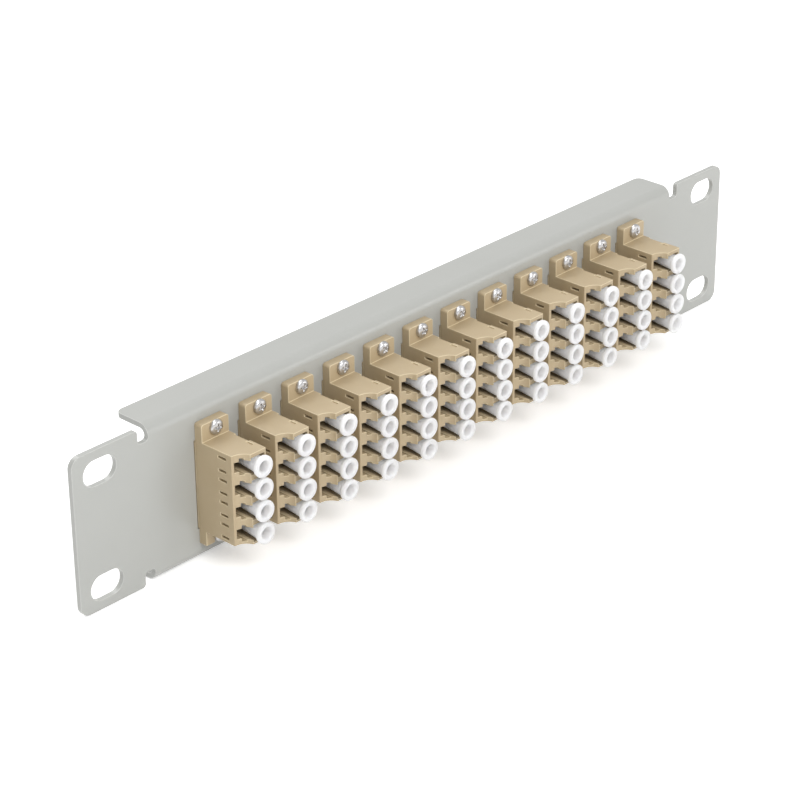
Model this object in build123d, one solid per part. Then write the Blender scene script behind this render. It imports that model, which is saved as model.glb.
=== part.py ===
from build123d import *
from build123d.topology import SkipClean
import os

# Fibre patch panel for a 10 inch rack, one unit high: a folded steel panel that carries
# twelve four-port adapters, each held by two screws and closed by dust plugs.
# Millimetres. +X runs along the panel, -Y is the front, +Z is up. The origin is the centre
# of the four rack slots, on the panel's rear face.

# Panel sheet
panel_width = 254.0
panel_height = 44.0
sheet = 1.5
flange_depth = 12.0
bend_inside = 1.5
ear_length = 21.15
relief_width = 3.35
relief_round = 1.0
ear_corner = 3.0
ear_inner_corner = 1.0
flange_corner = 2.0

# Rack slots
slot_end_distance = 8.75
slot_spacing_z = 31.75
slot_length = 10.5
slot_width = 7.0

# Row of adapters
adapter_count = 12
adapter_pitch = 15.05
ports = 4
port_pitch = 6.3
port_drop = 0.7

# Screws and nuts
screw_diameter = 2.0
screw_length = 6.4
head_diameter = 4.0
head_rim = 0.5
head_height = 1.3
head_round = 0.25
recess_length = 2.3
recess_width = 0.55
recess_depth = 0.8
screw_clearance = 0.15
head_gap_top = 1.0
head_gap_bottom = 0.1
nut_flats = 4.0
nut_thickness = 1.6
thread_gap = 0.03

# Adapter body in front of its flange
body_width = 9.3
body_height = 25.5
body_drop = 0.45
mount_plate = 2.65
tab_top = 4.85
foot_bottom = 4.0
foot_notch = 3.5
tab_corner = 0.8
side_reach = 13.2
front_reach = 15.9
sweep_width = 3.1
sweep_sag = 0.45
side_wall = 0.7
edge_round = 0.3
rib_depth = 0.5
rib_length = 2.45
front_pad = 5.75

# Adapter body behind the panel
rear_step_top = 0.4
rear_step_bottom = 0.2
rear_reach = 12.0
cutout_side_gap = 0.35
cutout_end_gap = 0.25

# Port section, measured inwards from the latch side
latch_wall = 0.75
latch_height = 1.35
latch_width = 2.7
wing_height = 1.0
wing_width = 4.6
neck_height = 0.9
neck_width = 3.5
port_height = 4.7
port_width = 4.8

# Depths about the plane where two fibres meet
mating_depth = 15.4
port_floor = 1.5
sleeve_length = 6.8
sleeve_diameter = 1.62
sleeve_wall = 0.185
sleeve_slit = 0.3
sleeve_gap = 0.04
holder_diameter = 2.9
holder_lip = 0.5
ferrule_hole = 1.3

# Slits that the mould leaves
window_length = 2.8
window_height = 0.65
window_setback = 2.15
window_offset = 1.825
top_slit_length = 2.2
top_slit_width = 0.5
top_slit_depth = 0.6
top_slit_inset = 1.15

# Dust plug
plug_length = 16.05
plug_seat_gap = 0.3
rim_diameter = 5.9
rim_length = 1.0
rim_round = 0.3
flare_length = 0.8
flare_diameter = 4.5
neck_diameter = 3.5
cone_length = 6.0
mouth_diameter = 3.2
mouth_end_diameter = 2.3
mouth_depth = 8.0
mouth_round = 0.35
web = 2.0
plug_tube_gap = 0.1
plug_end_chamfer = 0.15

# Places worked out from the sizes above
half_width = panel_width / 2
half_height = panel_height / 2
bend_outside = bend_inside + sheet
slot_spacing_x = panel_width - 2 * slot_end_distance
channel_half = half_width - ear_length - relief_width
front_face = -sheet
flange_front = front_face - mount_plate
side_front = front_face - side_reach
body_front = front_face - front_reach
mating_plane = body_front + mating_depth
rear_face = front_face + rear_reach
half_body = body_width / 2
body_top = body_height / 2 - body_drop
body_bottom = -body_height / 2 - body_drop
screw_top = body_top + head_gap_top + head_diameter / 2
screw_bottom = body_bottom - head_gap_bottom - head_diameter / 2
rear_top = body_top - rear_step_top
rear_bottom = body_bottom + rear_step_bottom
rear_height = rear_top - rear_bottom
rear_middle = (rear_top + rear_bottom) / 2
rear_floor = mating_plane + port_floor
front_floor = mating_plane - port_floor
holder_front = mating_plane - sleeve_length / 2 - holder_lip
holder_rear = mating_plane + sleeve_length / 2 + holder_lip
holder_bore = sleeve_diameter + 2 * sleeve_gap
port_base = -half_body + latch_wall + latch_height + wing_height + neck_height
port_axis_x = port_base + port_height / 2
plug_front = front_floor - plug_seat_gap - plug_length
plug_rear = rear_floor + plug_seat_gap + plug_length

# How far a cutting tool passes a face, and how near a picked corner has to lie
overrun = 1.0
same_place = 0.01


def box(x_low, x_high, y_low, y_high, z_low, z_high):
    """A block between two opposite corners."""
    size = (x_high - x_low, y_high - y_low, z_high - z_low)
    middle = ((x_low + x_high) / 2, (y_low + y_high) / 2, (z_low + z_high) / 2)
    return Pos(*middle) * Box(*size)


def rod(diameter, x, y_low, y_high, z):
    """A round bar along Y."""
    bar = Cylinder(diameter / 2, y_high - y_low, rotation=(90, 0, 0))
    return Pos(x, (y_low + y_high) / 2, z) * bar


def from_front(sketch, y_low, y_high):
    """Extrudes a sketch drawn in X and Z between two depths."""
    plane = Plane(origin=(0, y_low, 0), x_dir=(1, 0, 0), z_dir=(0, -1, 0))
    return extrude(plane * sketch, amount=-(y_high - y_low))


def adapter_places():
    """The X of each adapter's middle, from left to right as seen from the front."""
    first = -adapter_pitch * (adapter_count - 1) / 2
    return [first + adapter_pitch * n for n in range(adapter_count)]


def port_places():
    """The Z of each port's axis, from the top down."""
    first = port_pitch * (ports - 1) / 2 - port_drop
    return [first - port_pitch * n for n in range(ports)]


def channel():
    """The middle of the panel: a plate with both long edges folded back."""
    rear = front_face + flange_depth
    outer = Pos(0, (front_face + rear + overrun) / 2) * Rectangle(
        panel_height, flange_depth + overrun
    )
    inner = Pos(0, (rear + overrun) / 2) * Rectangle(
        panel_height - 2 * sheet, rear + overrun
    )
    outer = fillet(outer.vertices().sort_by(Axis.Y)[:2], bend_outside)
    inner = fillet(inner.vertices().sort_by(Axis.Y)[:2], bend_inside)
    section = outer - inner - Pos(0, rear + overrun) * Rectangle(
        panel_height + overrun, 2 * overrun
    )
    across = Plane(origin=(-channel_half, 0, 0), x_dir=(0, 0, -1), z_dir=(1, 0, 0))
    bar = extrude(across * section, amount=2 * channel_half)
    corners = [
        edge
        for edge in bar.edges().filter_by(Axis.Z)
        if edge.center().Y > rear - same_place and edge.length < sheet + same_place
    ]
    return fillet(corners, flange_corner)


def ear(side):
    """One rack ear with its reliefs. side is -1 for the left and 1 for the right."""
    end = side * half_width
    inner = side * channel_half
    edge = side * (channel_half + relief_width)
    blank = Pos((end + inner) / 2, 0) * Rectangle(abs(end - inner), panel_height)
    outer_corners = [v for v in blank.vertices() if abs(v.X - end) < same_place]
    blank = fillet(outer_corners, ear_corner)
    relief_floor = half_height - bend_outside - relief_round
    for up in (-1, 1):
        tall = half_height - relief_floor + overrun
        notch = Pos((edge + inner) / 2, up * (relief_floor + tall / 2)) * Rectangle(
            relief_width, tall
        )
        floor_corners = [v for v in notch.vertices() if abs(v.Y) < half_height]
        blank -= fillet(floor_corners, relief_round)
    inner_corners = [
        v
        for v in blank.vertices()
        if abs(v.X - edge) < same_place and abs(abs(v.Y) - half_height) < same_place
    ]
    blank = fillet(inner_corners, ear_inner_corner)
    return from_front(blank, front_face, 0)


def rack_slots():
    """The four slots that take the rack screws."""
    slots = Sketch() + [
        Pos(sx * slot_spacing_x / 2, sz * slot_spacing_z / 2)
        * SlotOverall(slot_length, slot_width)
        for sx in (-1, 1)
        for sz in (-1, 1)
    ]
    return from_front(slots, front_face - overrun, overrun)


def make_panel():
    """The folded panel with its slots, cut-outs and screw holes."""
    middle = channel()
    cutout_width = body_width + 2 * cutout_side_gap
    cutout_height = rear_height + 2 * cutout_end_gap
    for x in adapter_places():
        openings = Pos(x, rear_middle) * Rectangle(cutout_width, cutout_height)
        for z in (screw_bottom, screw_top):
            openings += Pos(x, z) * Circle(screw_diameter / 2 + screw_clearance)
        middle -= from_front(openings, front_face - overrun, overrun)
    ears = [ear(side) - rack_slots() for side in (-1, 1)]
    # The lines between middle and ears stay, so each ear has its own face for the rail
    with SkipClean():
        return middle + ears


def port_section():
    """One port seen from the front: latch slot, wings, neck and square opening."""
    start = -half_body + latch_wall
    section = Sketch()
    rows = [
        (latch_height, latch_width),
        (wing_height, wing_width),
        (neck_height, neck_width),
        (port_height, port_width),
    ]
    for height, width in rows:
        section += Pos(start + height / 2, 0) * Rectangle(height, width)
        start += height
    return section


def all_ports():
    """The sections of the four ports, one above the other."""
    one = port_section()
    return Sketch() + [Pos(0, z) * one for z in port_places()]


def body_outline():
    """The body from above: a set-back latch side, a swept front and a ribbed far side."""
    left = -half_body
    right = half_body
    sweep_start = (left + side_wall, side_front)
    sweep_end = (left + side_wall + sweep_width, body_front)
    middle = (
        (sweep_start[0] + sweep_end[0]) / 2 + sweep_sag,
        (sweep_start[1] + sweep_end[1]) / 2 + sweep_sag,
    )
    inset = right - rib_depth
    pad_start = body_front + front_pad
    rib_end = flange_front - rib_length
    root = flange_front + mount_plate / 2
    lines = (
        Line((left, root), (left, side_front))
        + Line((left, side_front), sweep_start)
        + ThreePointArc(sweep_start, middle, sweep_end)
        + Polyline(
            sweep_end,
            (right, body_front),
            (right, pad_start),
            (inset, pad_start),
            (inset, rib_end),
            (right, rib_end),
            (right, root),
            (left, root),
        )
    )
    outline = make_face(lines)
    corners = [
        v
        for v in outline.vertices()
        if (abs(v.X - left) < same_place and v.Y < side_front + same_place)
        or (abs(v.X - right) < same_place and v.Y < body_front + same_place)
    ]
    return fillet(corners, edge_round)


def mounting_plate():
    """The flange that the two screws hold against the panel."""
    high = body_top + tab_top
    low = body_bottom - foot_bottom
    plate = Pos(0, (high + low) / 2) * Rectangle(body_width, high - low)
    plate = fillet(plate.vertices().sort_by(Axis.Y)[-2:], tab_corner)
    hole = screw_diameter / 2 + screw_clearance
    plate -= Pos(0, screw_top) * Circle(hole)
    notch_top = screw_bottom + foot_notch / 2
    notch = Pos(0, (notch_top + low - overrun) / 2) * Rectangle(
        foot_notch, notch_top - low + overrun
    )
    plate -= fillet(notch.vertices().sort_by(Axis.Y)[-2:], foot_notch / 2 - tab_corner)
    return from_front(plate, flange_front, front_face)


def holder(y_low, y_high, lip_side):
    """Half of a sleeve holder: a tube with a lip at its free end."""
    tube = rod(holder_diameter, port_axis_x, y_low, y_high, 0)
    if lip_side < 0:
        bore = rod(holder_bore, port_axis_x, y_low + holder_lip, y_high + overrun, 0)
    else:
        bore = rod(holder_bore, port_axis_x, y_low - overrun, y_high - holder_lip, 0)
    hole = rod(ferrule_hole, port_axis_x, y_low - overrun, y_high + overrun, 0)
    return tube - bore - hole


def latch_windows():
    """Two slits through the latch side for each port."""
    rear = side_front + window_setback + window_length
    front = side_front + window_setback
    wing_end = -half_body + latch_wall + latch_height + wing_height
    slits = []
    for z in port_places():
        for up in (-1, 1):
            middle = z + up * window_offset
            low = middle - window_height / 2
            high = middle + window_height / 2
            slits.append(box(-half_body - overrun, wing_end, front, rear, low, high))
    return slits


def front_shell():
    """The moulding with the flange and the four front ports."""
    plane = Plane.XY.offset(body_bottom)
    body = extrude(plane * body_outline(), amount=body_height)
    shell = body + mounting_plate()
    shell -= from_front(all_ports(), body_front - overrun, front_floor)
    for z in port_places():
        shell -= rod(holder_bore, port_axis_x, front_floor - overrun, 0, z)
        shell += Pos(0, 0, z) * holder(holder_front, front_face, -1)
    for slit in latch_windows():
        shell -= slit
    slit_x = half_body - top_slit_inset
    slit_start = body_front + front_pad - top_slit_length
    shell -= box(
        slit_x - top_slit_width / 2,
        slit_x + top_slit_width / 2,
        slit_start,
        slit_start + top_slit_length,
        body_top - top_slit_depth,
        body_top + overrun,
    )
    return shell


def rear_shell():
    """The moulding behind the flange, through the panel, with the four rear ports."""
    outline = Pos(0, rear_middle) * Rectangle(body_width, rear_height)
    shell = from_front(outline, front_face, rear_face)
    shell -= from_front(all_ports(), rear_floor, rear_face + overrun)
    for z in port_places():
        shell -= rod(holder_bore, port_axis_x, front_face - overrun, rear_floor + overrun, z)
        shell += Pos(0, 0, z) * holder(front_face, holder_rear, 1)
    return shell


def alignment_sleeve():
    """A thin split tube that lines up two ferrules."""
    low = mating_plane - sleeve_length / 2
    high = mating_plane + sleeve_length / 2
    tube = rod(sleeve_diameter, port_axis_x, low, high, 0)
    bore = rod(sleeve_diameter - 2 * sleeve_wall, port_axis_x, low, high, 0)
    slit = box(
        port_axis_x - sleeve_slit / 2,
        port_axis_x + sleeve_slit / 2,
        low,
        high,
        0,
        sleeve_diameter,
    )
    return tube - bore - slit


def screw():
    """A pan-head screw with a cross recess, its head seated on the flange."""
    radius = head_diameter / 2
    seat = flange_front
    rim = seat - head_rim
    top = seat - head_height
    dome = rim - top
    dome_radius = (radius**2 + dome**2) / (2 * dome)
    profile = make_face(
        Line((0, seat), (radius, seat))
        + Line((radius, seat), (radius, rim))
        + RadiusArc((radius, rim), (0, top), dome_radius)
        + Line((0, top), (0, seat))
    )
    shoulder = [v for v in profile.vertices() if v.X > head_round and v.Y < seat]
    head = revolve(fillet(shoulder, head_round), Axis.Y)
    shank = rod(screw_diameter, 0, seat - head_rim, seat + screw_length, 0)
    bottom = top + recess_depth
    half = recess_width / 2
    reach = recess_length / 2
    across = box(-reach, reach, top - overrun, bottom, -half, half)
    upright = box(-half, half, top - overrun, bottom, -reach, reach)
    return head + shank - across - upright


def nut():
    """A hexagon nut against the panel's rear face, with its flats level."""
    hexagon = RegularPolygon(nut_flats / 2, 6, major_radius=False)
    hexagon -= Circle(screw_diameter / 2 + thread_gap)
    return from_front(hexagon, 0, nut_thickness)


def dust_plug():
    """A trumpet-shaped plug: rim at y = 0, body towards +Y, blind at both ends."""
    rim = rim_diameter / 2
    flare = flare_diameter / 2
    neck = neck_diameter / 2
    mouth = mouth_diameter / 2
    tail = holder_diameter / 2 + plug_tube_gap
    flare_end = rim_length + flare_length
    neck_start = flare_end + cone_length
    tail_end = mouth_depth + web
    outline = make_face(
        Polyline(
            (0, mouth_depth),
            (mouth_end_diameter / 2, mouth_depth),
            (mouth, 0),
            (rim, 0),
            (rim, rim_length),
            (flare, flare_end),
            (neck, neck_start),
            (neck, plug_length),
            (tail, plug_length),
            (tail, tail_end),
            (0, tail_end),
            (0, mouth_depth),
        )
    )
    points = outline.vertices()
    front_outer = [v for v in points if v.Y < same_place and v.X > rim - same_place]
    outline = fillet(front_outer, rim_round)
    front_inner = [
        v
        for v in outline.vertices()
        if v.Y < same_place and v.X < mouth + same_place
    ]
    outline = fillet(front_inner, mouth_round)
    end_outer = [
        v
        for v in outline.vertices()
        if v.Y > plug_length - same_place and v.X > neck - same_place
    ]
    outline = chamfer(end_outer, plug_end_chamfer)
    return revolve(outline, Axis.Y)


def save(shape, name):
    """Writes one node's file."""
    export_step(shape, os.path.join("parts", name + ".step"))


def group(solids):
    """Separate solids that share one node."""
    return Compound(children=solids)


def main():
    os.makedirs("parts", exist_ok=True)
    save(make_panel(), "panel")

    front = front_shell().solid()
    rear = rear_shell().solid()
    sleeve = alignment_sleeve().solid()
    fastener = screw().solid()
    lock = nut().solid()
    plug = dust_plug().solid()
    turned = Rot(0, 0, 180) * plug

    columns = adapter_places()
    rows = port_places()
    pockets = [(x, z) for x in columns for z in rows]
    fixings = [(x, z) for x in columns for z in (screw_top, screw_bottom)]

    save(group([Pos(x, 0, 0) * front for x in columns]), "adapter_front_shells")
    save(group([Pos(x, 0, 0) * rear for x in columns]), "adapter_rear_shells")
    save(group([Pos(x, 0, z) * sleeve for x, z in pockets]), "alignment_sleeves")
    save(group([Pos(x, 0, z) * fastener for x, z in fixings]), "adapter_screws")
    save(group([Pos(x, 0, z) * lock for x, z in fixings]), "adapter_nuts")
    rear_plugs = [Pos(x + port_axis_x, plug_rear, z) * turned for x, z in pockets]
    save(group(rear_plugs), "rear_dust_plugs")

    for column, x in enumerate(columns, 1):
        for row, z in enumerate(rows, 1):
            placed = Pos(x + port_axis_x, plug_front, z) * plug
            save(placed, f"dust_plug_{column:02d}_{row}")


main()
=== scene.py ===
import math

import bmesh
import bpy
import numpy as np
from mathutils import Matrix, Vector


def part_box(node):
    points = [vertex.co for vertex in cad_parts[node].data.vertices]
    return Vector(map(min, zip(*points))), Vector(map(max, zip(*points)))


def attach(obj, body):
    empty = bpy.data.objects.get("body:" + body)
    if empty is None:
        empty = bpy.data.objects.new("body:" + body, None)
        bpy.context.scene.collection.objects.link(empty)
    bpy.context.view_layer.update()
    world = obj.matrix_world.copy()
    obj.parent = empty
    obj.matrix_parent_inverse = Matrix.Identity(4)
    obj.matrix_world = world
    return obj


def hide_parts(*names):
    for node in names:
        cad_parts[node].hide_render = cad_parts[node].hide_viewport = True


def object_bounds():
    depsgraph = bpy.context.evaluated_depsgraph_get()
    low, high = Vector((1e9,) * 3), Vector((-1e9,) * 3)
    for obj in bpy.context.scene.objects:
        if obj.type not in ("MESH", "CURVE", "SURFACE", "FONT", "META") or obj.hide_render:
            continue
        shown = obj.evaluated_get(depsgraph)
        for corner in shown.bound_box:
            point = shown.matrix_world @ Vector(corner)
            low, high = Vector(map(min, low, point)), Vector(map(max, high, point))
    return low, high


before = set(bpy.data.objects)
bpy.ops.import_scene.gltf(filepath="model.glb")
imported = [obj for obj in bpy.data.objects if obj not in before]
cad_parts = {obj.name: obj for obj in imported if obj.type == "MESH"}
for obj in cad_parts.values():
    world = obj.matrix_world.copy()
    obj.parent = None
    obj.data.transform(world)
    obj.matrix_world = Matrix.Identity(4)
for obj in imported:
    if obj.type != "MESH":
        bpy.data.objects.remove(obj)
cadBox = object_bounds()
mm = 0.001  # every size below is in millimetres and turned to metres by this
adapterCount, portCount = 12, 4

# Colour and nodes


def linear(hexColour):
    # An sRGB hex colour as linear red, green, blue and full alpha.
    parts = [int(hexColour[i:i + 2], 16) / 255 for i in (1, 3, 5)]
    curve = [c / 12.92 if c <= 0.04045 else ((c + 0.055) / 1.055) ** 2.4 for c in parts]
    return (*curve, 1.0)


def addNode(tree, kind, settings, links=None):
    # Adds one node. settings are properties or input values, links are input to output.
    node = tree.nodes.new(kind)
    for key, value in settings.items():
        if isinstance(key, str) and hasattr(node, key):
            setattr(node, key, value)
        else:
            node.inputs[key].default_value = value
    for key, source in (links or {}).items():
        tree.links.new(source, node.inputs[key])
    return node


def newMaterial(name):
    # An empty node material and its tree.
    material = bpy.data.materials.new(name)
    material.use_nodes = True
    tree = material.node_tree
    tree.nodes.clear()
    return material, tree


def finishMaterial(tree, settings, links):
    # The surface shader with its settings and links, and the output.
    shader = addNode(tree, "ShaderNodeBsdfPrincipled", settings, links)
    addNode(tree, "ShaderNodeOutputMaterial", {}, {"Surface": shader.outputs[0]})


def blotchedColour(tree, look, deep=None, pale=None):
    # A colour that drifts between two tones in noise blotches of about cloudMm.
    place = addNode(tree, "ShaderNodeTexCoord", {}).outputs["Object"]
    cloud = addNode(
        tree, "ShaderNodeTexNoise",
        {"Scale": 1.0 / (look["cloudMm"] * mm), "Detail": look["cloudDetail"],
         "Distortion": look.get("cloudTwist", 0.0)},
        {"Vector": place})
    colour = addNode(
        tree, "ShaderNodeMix",
        {"data_type": "RGBA", 6: linear(deep or look["deep"]), 7: linear(pale or look["pale"])},
        {"Factor": cloud.outputs["Fac"]})
    return colour.outputs[2]


def fineGrain(tree, look):
    # A shallow noise relief of about grainMm, bumpMm deep.
    place = addNode(tree, "ShaderNodeTexCoord", {}).outputs["Object"]
    grain = addNode(
        tree, "ShaderNodeTexNoise",
        {"Scale": 1.0 / (look["grainMm"] * mm), "Detail": look["grainDetail"]},
        {"Vector": place})
    bump = addNode(
        tree, "ShaderNodeBump",
        {"Strength": look["bumpStrength"], "Distance": look["bumpMm"] * mm},
        {"Height": grain.outputs["Fac"]})
    return bump.outputs["Normal"]


coatLook = {
    "pale": "#AFB0AC",
    "deep": "#AAABA7",
    "edge": "#BCBDB9",  # painted highlight: a paler coat on the rounded edges for the light they catch
    "cloudMm": 18.0,
    "cloudDetail": 3.0,
    "grainMm": 0.45,  # the powder's orange peel, a little coarser than life so that it shows
    "grainDetail": 2.0,
    "bumpMm": 0.012,
    "bumpStrength": 0.35,
    "roughness": 0.29,
}


def powderCoatedSteel(name, deep, pale):
    # Light grey polyester powder baked on sheet steel: satin, with a fine orange peel.
    material, tree = newMaterial(name)
    finishMaterial(
        tree, {"Roughness": coatLook["roughness"], "IOR": 1.5},
        {"Base Color": blotchedColour(tree, coatLook, deep, pale),
         "Normal": fineGrain(tree, coatLook)})
    return material


pbtLook = {
    "pale": "#BBA98A",
    "deep": "#B3A07F",
    "edge": "#D0C09F",  # painted highlight: a paler tone on the moulded edges for the light they catch
    "cloudMm": 5.0,
    "cloudDetail": 2.0,
    "cloudTwist": 0.6,  # draws the blotches out into flow marks
    "grainMm": 0.22,  # spark-eroded mould finish
    "grainDetail": 2.0,
    "bumpMm": 0.01,
    "bumpStrength": 0.3,
    "roughness": 0.4,
}


def mouldedPbt(name, deep, pale):
    # Beige polyester moulded in a spark-eroded tool: even colour, a dull sheen, faint flow marks.
    material, tree = newMaterial(name)
    finishMaterial(
        tree, {"Roughness": pbtLook["roughness"], "IOR": 1.55},
        {"Base Color": blotchedColour(tree, pbtLook, deep, pale),
         "Normal": fineGrain(tree, pbtLook)})
    return material


polyLook = {
    "pale": "#EEEFF1",
    "deep": "#EAEBED",
    "cloudMm": 3.0,
    "cloudDetail": 1.0,
    "roughness": 0.36,
    "glowMm": 6.5,  # how far light carries in the plastic
}


def softPolyethylene():
    # Natural white low-density polyethylene: waxy, slightly see-through at thin rims.
    material, tree = newMaterial("soft_polyethylene")
    finishMaterial(
        tree,
        {"Roughness": polyLook["roughness"], "IOR": 1.51, "Subsurface Weight": 1.0,
         "Subsurface Radius": (1.0, 1.0, 0.95), "Subsurface Scale": polyLook["glowMm"] * mm},
        {"Base Color": blotchedColour(tree, polyLook)})
    return material


nickelLook = {
    "pale": "#CDCCCC",
    "deep": "#BFBEBF",
    "cloudMm": 0.6,
    "cloudDetail": 2.0,
    "roughness": 0.33,
}


def nickelPlatedSteel():
    # Small cold-headed screws with bright nickel: mirror-like with soft tumbling marks.
    material, tree = newMaterial("nickel_plated_steel")
    finishMaterial(
        tree, {"Roughness": nickelLook["roughness"], "Metallic": 1.0},
        {"Base Color": blotchedColour(tree, nickelLook)})
    return material


ceramicLook = {
    "pale": "#F8F7F4",
    "deep": "#EFEEEA",
    "cloudMm": 1.0,
    "cloudDetail": 2.0,
    "roughness": 0.15,
}


def zirconiaCeramic():
    # Ground and polished white ceramic, glossy and even.
    material, tree = newMaterial("zirconia_ceramic")
    finishMaterial(
        tree, {"Roughness": ceramicLook["roughness"], "IOR": 2.1},
        {"Base Color": blotchedColour(tree, ceramicLook)})
    return material


paperLook = {"colour": "#F7F7F7", "roughness": 0.9, "gloss": 0.1, "lift": 0.35}


def studioPaper():
    # Matt white paper sweep, lifted a little where it is seen or mirrored, so it stays white.
    material, tree = newMaterial("studio_paper")
    rays = addNode(tree, "ShaderNodeLightPath", {})
    seen = addNode(
        tree, "ShaderNodeMath", {"operation": "MAXIMUM"},
        {0: rays.outputs["Is Camera Ray"], 1: rays.outputs["Is Glossy Ray"]})
    lift = addNode(
        tree, "ShaderNodeMath", {"operation": "MULTIPLY", 1: paperLook["lift"]},
        {0: seen.outputs[0]})
    finishMaterial(
        tree,
        {"Base Color": linear(paperLook["colour"]), "Roughness": paperLook["roughness"],
         "Specular IOR Level": paperLook["gloss"], "Emission Color": (1, 1, 1, 1)},
        {"Emission Strength": lift.outputs[0]})
    return material


steelCoat = powderCoatedSteel("powder_coated_steel", coatLook["deep"], coatLook["pale"])
# the paler coat for the panel's rounded edges is a painted highlight
steelEdgeHighlight = powderCoatedSteel("powder_coated_edge_highlight", coatLook["edge"], coatLook["edge"])
beigePbt = mouldedPbt("moulded_pbt", pbtLook["deep"], pbtLook["pale"])
# the paler plastic for the shells' rounded edges is a painted highlight
pbtEdgeHighlight = mouldedPbt("moulded_pbt_edge_highlight", pbtLook["edge"], pbtLook["edge"])
whitePoly = softPolyethylene()
nickel = nickelPlatedSteel()
ceramic = zirconiaCeramic()
print("materials ready")

# Mesh tools

meshCare = {
    "joinMm": 0.0001,  # points of a grid this near are one, which closes its poles
    "looseMm": 0.002,  # the same for the loose triangles of a CAD node
    "flat": 0.5,  # degrees between faces up to which they are merged
    "gridSharp": 50,  # degrees from which an edge of a grid stays sharp
    "cadSharp": 35,  # degrees from which an edge of a CAD node is sharp and gets a round
    "roomShare": 2.5,  # a round needs this many widths of room beside it
    "sideways": 0.8,  # cosine under which an edge leaves another's end sideways
    "evenWeight": 80,  # how much large faces outweigh small ones in the shading
}


def addPiece(name, mesh, material, body):
    # Puts a finished mesh into the scene at the origin and lets it ride on a body.
    piece = bpy.data.objects.new(name, mesh)
    bpy.context.scene.collection.objects.link(piece)
    mesh.materials.clear()
    mesh.materials.append(material)
    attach(piece, body)
    return piece


def gridFaces(rows, columns):
    # Quads of a grid whose columns close on themselves, rows by columns points.
    row = np.arange(rows - 1)[:, None] * columns
    column = np.arange(columns)[None, :]
    after = (column + 1) % columns
    quads = np.stack(
        [row + column, row + after, row + columns + after, row + columns + column], axis=-1)
    return quads.reshape(-1, 4)


def gridMesh(name, copies):
    # copies holds point grids of shape (rows, columns, 3), each closed round its columns.
    corners, faces, start = [], [], 0
    for points in copies:
        rows, columns = points.shape[:2]
        quads = gridFaces(rows, columns) + start
        corners.append(points.reshape(-1, 3))
        faces.append(quads)
        start += rows * columns
    corners = np.concatenate(corners) * mm
    faces = np.concatenate(faces)
    mesh = bpy.data.meshes.new(name)
    mesh.from_pydata(corners.tolist(), [], faces.tolist())
    work = bmesh.new()
    work.from_mesh(mesh)
    bmesh.ops.remove_doubles(work, verts=work.verts, dist=meshCare["joinMm"] * mm)
    bmesh.ops.recalc_face_normals(work, faces=work.faces)
    work.to_mesh(mesh)
    work.free()
    mesh.shade_smooth()
    mesh.set_sharp_from_angle(angle=math.radians(meshCare["gridSharp"]))
    return mesh


def roundedPath(points, radii, steps=5):
    # A line through points whose inner corners are replaced by arcs of the given radii:
    # each arc is a quadratic curve from tangent point to tangent point round its corner.
    mostReach, noReach = 0.49, 1e-6  # of a side's length, and in millimetres
    points = np.array(points, float)
    path = [points[0]]
    share = np.linspace(0.0, 1.0, steps)[:, None]
    for before, corner, after, radius in zip(points[:-2], points[1:-1], points[2:], radii):
        inward, outward = before - corner, after - corner
        lengthIn, lengthOut = np.linalg.norm(inward), np.linalg.norm(outward)
        cosine = np.clip(inward @ outward / (lengthIn * lengthOut), -1.0, 1.0)
        reach = radius / math.tan(math.acos(cosine) / 2) if radius else 0.0
        reach = min(reach, lengthIn * mostReach, lengthOut * mostReach)
        if reach < noReach:
            path.append(corner)
            continue
        first = corner + inward / lengthIn * reach
        last = corner + outward / lengthOut * reach
        curve = (1 - share) ** 2 * first + 2 * share * (1 - share) * corner + share ** 2 * last
        path.extend(curve)
    path.append(points[-1])
    return np.array(path)


def latheAlongY(profile, columns):
    # Turns a profile of (radius, y) once round the Y axis.
    angle = np.linspace(0, 2 * np.pi, columns, endpoint=False)
    radius, depth = profile[:, 0][:, None], profile[:, 1][:, None]
    return np.stack(
        [radius * np.cos(angle), depth + 0 * angle, radius * np.sin(angle)], axis=-1)


def softenedCopy(node, name):
    # The node's own shape with its loose triangles joined and its flat faces merged.
    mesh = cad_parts[node].data.copy()
    mesh.name = name
    work = bmesh.new()
    work.from_mesh(mesh)
    bmesh.ops.remove_doubles(work, verts=work.verts, dist=meshCare["looseMm"] * mm)
    bmesh.ops.dissolve_limit(
        work, angle_limit=math.radians(meshCare["flat"]), verts=work.verts, edges=work.edges)
    work.to_mesh(mesh)
    work.free()
    if mesh.has_custom_normals:
        mesh.attributes.remove(mesh.attributes["custom_normal"])
    mesh.shade_smooth()
    mesh.set_sharp_from_angle(angle=math.radians(meshCare["cadSharp"]))
    return mesh


def weighEdges(mesh, widthMm):
    # Gives each sharp edge its share of the round: all of it, or less where a face beside it,
    # or an edge that leaves its ends sideways, has too little room.
    sharp = math.radians(meshCare["cadSharp"])
    work = bmesh.new()
    work.from_mesh(mesh)
    layer = work.edges.layers.float.new("bevel_weight_edge")
    for edge in work.edges:
        if len(edge.link_faces) != 2 or edge.calc_face_angle() < sharp:
            continue
        start = edge.verts[0].co
        along = (edge.verts[1].co - start).normalized()
        room = [
            max((v.co - start).cross(along).length for v in face.verts)
            for face in edge.link_faces]
        room += [
            near.calc_length() for vert in edge.verts for near in vert.link_edges
            if abs((near.verts[1].co - near.verts[0].co).normalized().dot(along))
            < meshCare["sideways"]]
        edge[layer] = min(1.0, min(room) / (meshCare["roomShare"] * widthMm * mm))
    work.to_mesh(mesh)
    work.free()


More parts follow.
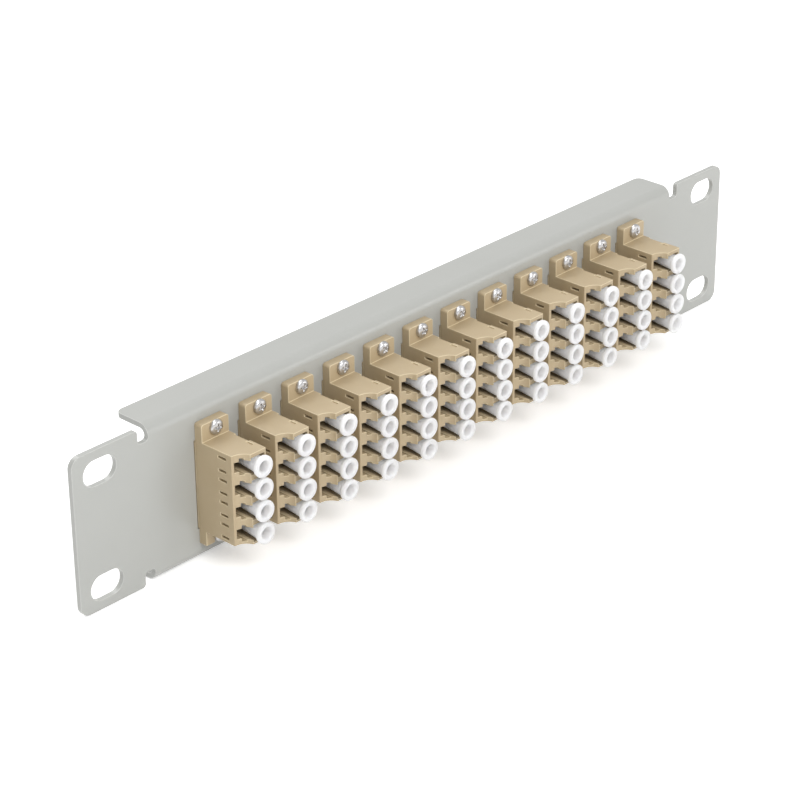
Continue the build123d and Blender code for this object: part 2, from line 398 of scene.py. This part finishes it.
def easeEdges(piece, edgeMaterial, widthMm, segments):
    # A small round on every marked edge, in edgeMaterial; a paler edgeMaterial paints a highlight
    # along the edges.
    weighEdges(piece.data, widthMm)
    piece.data.materials.append(edgeMaterial)
    bevel = piece.modifiers.new("easedEdges", "BEVEL")
    bevel.width = widthMm * mm
    bevel.segments = segments
    bevel.limit_method = "WEIGHT"
    bevel.use_clamp_overlap = False
    bevel.loop_slide = False
    bevel.material = len(piece.data.materials) - 1
    bevel.harden_normals = False
    smooth = piece.modifiers.new("evenNormals", "WEIGHTED_NORMAL")
    smooth.keep_sharp = False
    smooth.weight = meshCare["evenWeight"]


# Folded panel

panelEdge = {"widthMm": 0.14, "segments": 2}  # powder rounds every cut edge a little
panelMesh = softenedCopy("panel", "panel_coated")
panel = addPiece("panel_coated", panelMesh, steelCoat, "root")
# the rounds take the paler coat, a painted highlight along every edge
easeEdges(panel, steelEdgeHighlight, **panelEdge)
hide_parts("panel")
print("panel ready")

# Adapters

shellEdge = {"widthMm": 0.16, "segments": 2}
for node, name in (
        ("adapter_front_shells", "front_shells_moulded"),
        ("adapter_rear_shells", "rear_shells_moulded")):
    shellMesh = softenedCopy(node, name)
    shell = addPiece(name, shellMesh, beigePbt, "root")
    # the rounds take the paler plastic, a painted highlight along every edge
    easeEdges(shell, pbtEdgeHighlight, **shellEdge)
    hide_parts(node)
print("adapter shells ready")

# Dust plugs

plugShape = {
    "length": 16.05, "rim": 5.9, "rimLength": 1.0, "flare": 4.5, "flareLength": 0.8,
    "cone": 6.0, "neck": 3.5, "mouth": 3.2, "mouthEnd": 2.3, "mouthDepth": 8.0,
    "web": 2.0, "tail": 3.1, "columns": 40,
    "rounds": [0.3, 0.8, 0.42, 0.3, 0.9, 3.0, 0.12, 0.1, 0.2],  # of the profile's corners
}


def plugGrid():
    # The plug as a surface of angle and distance along one closed profile: down the mouth,
    # round the rim, along the flare and cone to the tail, and up the tail's bore.
    s = plugShape
    flareEnd = s["rimLength"] + s["flareLength"]
    profile = roundedPath(
        [(0, s["mouthDepth"]), (s["mouthEnd"] / 2, s["mouthDepth"]), (s["mouth"] / 2, 0),
         (s["rim"] / 2, 0), (s["rim"] / 2, s["rimLength"]), (s["flare"] / 2, flareEnd),
         (s["neck"] / 2, flareEnd + s["cone"]), (s["neck"] / 2, s["length"]),
         (s["tail"] / 2, s["length"]), (s["tail"] / 2, s["mouthDepth"] + s["web"]),
         (0, s["mouthDepth"] + s["web"])],
        s["rounds"])
    return latheAlongY(profile, s["columns"])


plugPoints = plugGrid()
for column in range(1, adapterCount + 1):
    for row in range(1, portCount + 1):
        node = f"dust_plug_{column:02d}_{row}"
        low, high = (np.array(corner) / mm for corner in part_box(node))
        middle = (low + high) / 2
        place = np.array([middle[0], low[1], middle[2]])
        plugMesh = gridMesh(f"plug_{column:02d}_{row}_moulded", [plugPoints + place])
        plug = addPiece(
            plugMesh.name, plugMesh, whitePoly, f"plug_{column:02d}_{row}")
        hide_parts(node)

turned = plugPoints * np.array([-1.0, -1.0, 1.0])  # the same plug facing the rear
rearLow, rearHigh = (np.array(corner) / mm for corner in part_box("rear_dust_plugs"))
rim = plugShape["rim"] / 2
rearX = np.linspace(rearLow[0] + rim, rearHigh[0] - rim, adapterCount)
rearZ = np.linspace(rearLow[2] + rim, rearHigh[2] - rim, portCount)
rearCopies = [turned + np.array([x, rearHigh[1], z]) for x in rearX for z in rearZ]
rearMesh = gridMesh("rear_plugs_moulded", rearCopies)
rearPlugs = addPiece("rear_plugs_moulded", rearMesh, whitePoly, "root")
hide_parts("rear_dust_plugs")
print("dust plugs ready")

# Screws and nuts

screwShape = {
    "head": 4.0, "rim": 0.5, "height": 1.274, "dome": 2.5, "easedRim": 0.06, "rimBulge": 0.3,
    "columns": 64,
    "recess": 2.3, "recessWidth": 0.54, "recessDepth": 0.6, "taper": 0.35, "wall": 0.14,
    "armEnd": 2.2,  # length of the slope at an arm's end, in wall widths
    "shallower": 0.35,  # share of the recess depth lost at an arm's end
    "crossRings": 20, "rimRings": 10, "crossReach": 1.08, "rimStart": 0.7,
    "shank": 2.0, "length": 6.4, "pitch": 0.4, "threadDepth": 0.1, "threadLength": 1.4,
    "threadRings": 36, "runIn": 0.2, "tip": 0.25, "tipEase": 0.2, "turnSeed": 7,
}


def step(low, high, value):
    # Rises smoothly from 0 at low to 1 at high.
    share = np.clip((value - low) / (high - low), 0.0, 1.0)
    return share * share * (3 - 2 * share)


def screwHead():
    # A pan head as a height over rings of radius r: the dome falls as
    # height * (1 - sqrt(1 - (r / R) ^ dome)), less the depth of a cross whose arms narrow
    # outwards and whose walls slope over a short width.
    s = screwShape
    full, arm = s["head"] / 2, s["recess"] / 2
    rings = np.concatenate(
        [np.linspace(0, arm * s["crossReach"], s["crossRings"]),
         full * np.sin(np.linspace(s["rimStart"], np.pi / 2, s["rimRings"]))])
    angle = np.linspace(0, 2 * np.pi, s["columns"], endpoint=False)
    r = rings[:, None] + 0 * angle
    x, z = r * np.cos(angle), r * np.sin(angle)
    domed = s["height"] - s["rim"]
    y = domed * (1 - np.sqrt(np.clip(1 - (r / full) ** s["dome"], 0, 1)))
    cross = 0 * r
    for along, across in ((x, z), (z, x)):
        half = s["recessWidth"] / 2 * (1 - s["taper"] * np.abs(along) / arm)
        inside = 1 - step(half - s["wall"] / 2, half + s["wall"] / 2, np.abs(across))
        inside = inside * (1 - step(arm - s["armEnd"] * s["wall"], arm, np.abs(along)))
        cross = np.maximum(cross, inside)
    y = y + cross * np.maximum(s["recessDepth"] * (1 - s["shallower"] * r / arm), 0)
    dome = np.stack([x, y, z], axis=-1)
    eased, seat = s["easedRim"], s["height"]
    bulge = eased * s["rimBulge"]
    side = latheAlongY(
        np.array([
            (full, seat - eased), (full - bulge, seat - bulge), (full - eased, seat),
            (s["shank"] / 2, seat)]),
        s["columns"])
    return np.concatenate([dome, side])


def screwShank():
    # A plain shank whose last part carries a thread: the radius dips as a triangle wave of
    # (depth / pitch - angle / full turn) and fades out at both ends.
    s = screwShape
    end = s["height"] + s["length"]
    start = end - s["threadLength"]
    runIn, tipStart = start - s["runIn"], end - s["tip"]
    depth = np.concatenate(
        [[s["height"] - s["runIn"]], np.linspace(runIn, end, s["threadRings"])])
    angle = np.linspace(0, 2 * np.pi, s["columns"] // 2, endpoint=False)
    wave = np.abs(((depth[:, None] / s["pitch"] - angle / (2 * np.pi)) % 1) * 2 - 1)
    fade = step(runIn, start, depth) * (1 - step(tipStart, end, depth))
    radius = s["shank"] / 2 - s["threadDepth"] * wave * fade[:, None]
    radius = radius - (s["tipEase"] * step(tipStart, end, depth))[:, None]
    radius = np.concatenate([radius, 0 * radius[:1]])
    depth = np.concatenate([depth, depth[-1:]])
    return np.stack(
        [radius * np.cos(angle), depth[:, None] + 0 * radius, radius * np.sin(angle)], axis=-1)


screwLow, screwHigh = (np.array(corner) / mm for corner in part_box("adapter_screws"))
headRadius = screwShape["head"] / 2
screwPlaces = [
    np.array([x, screwLow[1], z])
    for x in np.linspace(screwLow[0] + headRadius, screwHigh[0] - headRadius, adapterCount)
    for z in (screwLow[2] + headRadius, screwHigh[2] - headRadius)]
turns = np.random.default_rng(screwShape["turnSeed"]).uniform(
    0, np.pi / 2, len(screwPlaces))  # each screw stops at its own angle


def turnAboutY(points, angle):
    # Turns points round the Y axis: x and z mix by the angle's cosine and sine, y stays.
    x, y, z = points[..., 0], points[..., 1], points[..., 2]
    return np.stack(
        [x * np.cos(angle) - z * np.sin(angle), y, x * np.sin(angle) + z * np.cos(angle)],
        axis=-1)


headGrid, shankGrid = screwHead(), screwShank()
headMesh = gridMesh(
    "screw_heads_formed", [turnAboutY(headGrid, t) + p for t, p in zip(turns, screwPlaces)])
heads = addPiece("screw_heads_formed", headMesh, nickel, "root")
shankMesh = gridMesh(
    "screw_shanks_rolled", [turnAboutY(shankGrid, t) + p for t, p in zip(turns, screwPlaces)])
shanks = addPiece("screw_shanks_rolled", shankMesh, nickel, "root")
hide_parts("adapter_screws")
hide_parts("adapter_screws")

nutEdge = {"widthMm": 0.15, "segments": 2}
nutMesh = softenedCopy("adapter_nuts", "nuts_eased")
nuts = addPiece("nuts_eased", nutMesh, nickel, "root")
easeEdges(nuts, nickel, **nutEdge)
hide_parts("adapter_nuts")

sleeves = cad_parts["alignment_sleeves"]
sleeves.data.materials.clear()
sleeves.data.materials.append(ceramic)
print("screws, nuts and sleeves ready")

# Studio

studio = {
    "floorGapMm": 0.2,
    "floorMm": 6000.0,
    "worldLight": 0.64,
    "mirroredLight": 0.78,
    "key": {"place": (-300, -900, 900), "size": 600, "watts": 8.6},
    "fill": {"place": (900, -1050, 200), "size": 260, "watts": 1.2},
    "back": {"place": (100, 800, 900), "size": 800, "watts": 6.6},
}

floorZ = cadBox[0].z / mm - studio["floorGapMm"]
span = studio["floorMm"] / 2
floorMesh = bpy.data.meshes.new("studioFloor")
floorMesh.from_pydata(
    [(x * span * mm, y * span * mm, floorZ * mm) for x, y in ((-1, -1), (1, -1), (1, 1), (-1, 1))],
    [], [(0, 1, 2, 3)])
floorMesh.materials.append(studioPaper())
floor = bpy.data.objects.new("studioFloor", floorMesh)
bpy.context.scene.collection.objects.link(floor)

for lampName in ("key", "fill", "back"):
    lamp = studio[lampName]
    data = bpy.data.lights.new(lampName + "Light", "AREA")
    data.shape = "SQUARE"
    data.size = lamp["size"] * mm
    data.energy = lamp["watts"]
    light = bpy.data.objects.new(lampName + "Light", data)
    light.location = Vector(lamp["place"]) * mm
    light.rotation_euler = (-light.location).to_track_quat("-Z", "Y").to_euler()
    bpy.context.scene.collection.objects.link(light)

world = bpy.data.worlds.new("studioWorld")
bpy.context.scene.world = world
world.use_nodes = True
worldTree = world.node_tree
worldTree.nodes.clear()
rays = addNode(worldTree, "ShaderNodeLightPath", {})
mirrored = addNode(
    worldTree, "ShaderNodeMapRange",
    {"To Min": studio["worldLight"], "To Max": studio["mirroredLight"]},
    {"Value": rays.outputs["Is Glossy Ray"]})
strength = addNode(
    worldTree, "ShaderNodeMath", {"operation": "MAXIMUM"},
    {0: mirrored.outputs["Result"], 1: rays.outputs["Is Camera Ray"]})
glow = addNode(
    worldTree, "ShaderNodeBackground", {"Color": (1, 1, 1, 1)},
    {"Strength": strength.outputs[0]})
addNode(worldTree, "ShaderNodeOutputWorld", {}, {"Surface": glow.outputs[0]})
print("studio ready")

# Camera, fitted to the photograph's view of the rack slots, ears and adapters

cameraFit = {
    "azimuth": -46.44, "elevation": 26.91, "roll": -0.59, "distanceMm": 720.8,
    "targetMm": (-11.63, 0.0, -5.55), "focalPixels": 2665.5, "imagePixels": 800, "sensorMm": 36.0,
    "nearMm": 10.0, "farMm": 50000.0,
}


def placeCamera():
    # Stands off the target by the fitted angles and turns about its own axis by the roll.
    f = cameraFit
    azimuth, elevation = math.radians(f["azimuth"]), math.radians(f["elevation"])
    roll = math.radians(f["roll"])
    back = Vector((
        math.sin(azimuth) * math.cos(elevation),
        -math.cos(azimuth) * math.cos(elevation),
        math.sin(elevation)))
    right = (-back).cross(Vector((0, 0, 1))).normalized()
    up = right.cross(-back)
    turnedRight = right * math.cos(roll) + up * math.sin(roll)
    turnedUp = up * math.cos(roll) - right * math.sin(roll)
    camera = bpy.data.objects.new("photoCamera", bpy.data.cameras.new("photoCamera"))
    camera.data.sensor_width = f["sensorMm"]
    camera.data.lens = f["focalPixels"] / f["imagePixels"] * f["sensorMm"]
    camera.data.clip_start, camera.data.clip_end = f["nearMm"] * mm, f["farMm"] * mm
    axes = Matrix((turnedRight, turnedUp, back)).transposed().to_4x4()
    place = (Vector(f["targetMm"]) + back * f["distanceMm"]) * mm
    camera.matrix_world = Matrix.Translation(place) @ axes
    bpy.context.scene.collection.objects.link(camera)
    bpy.context.scene.camera = camera


placeCamera()
bpy.context.scene.view_settings.view_transform = "Standard"
print("camera ready")
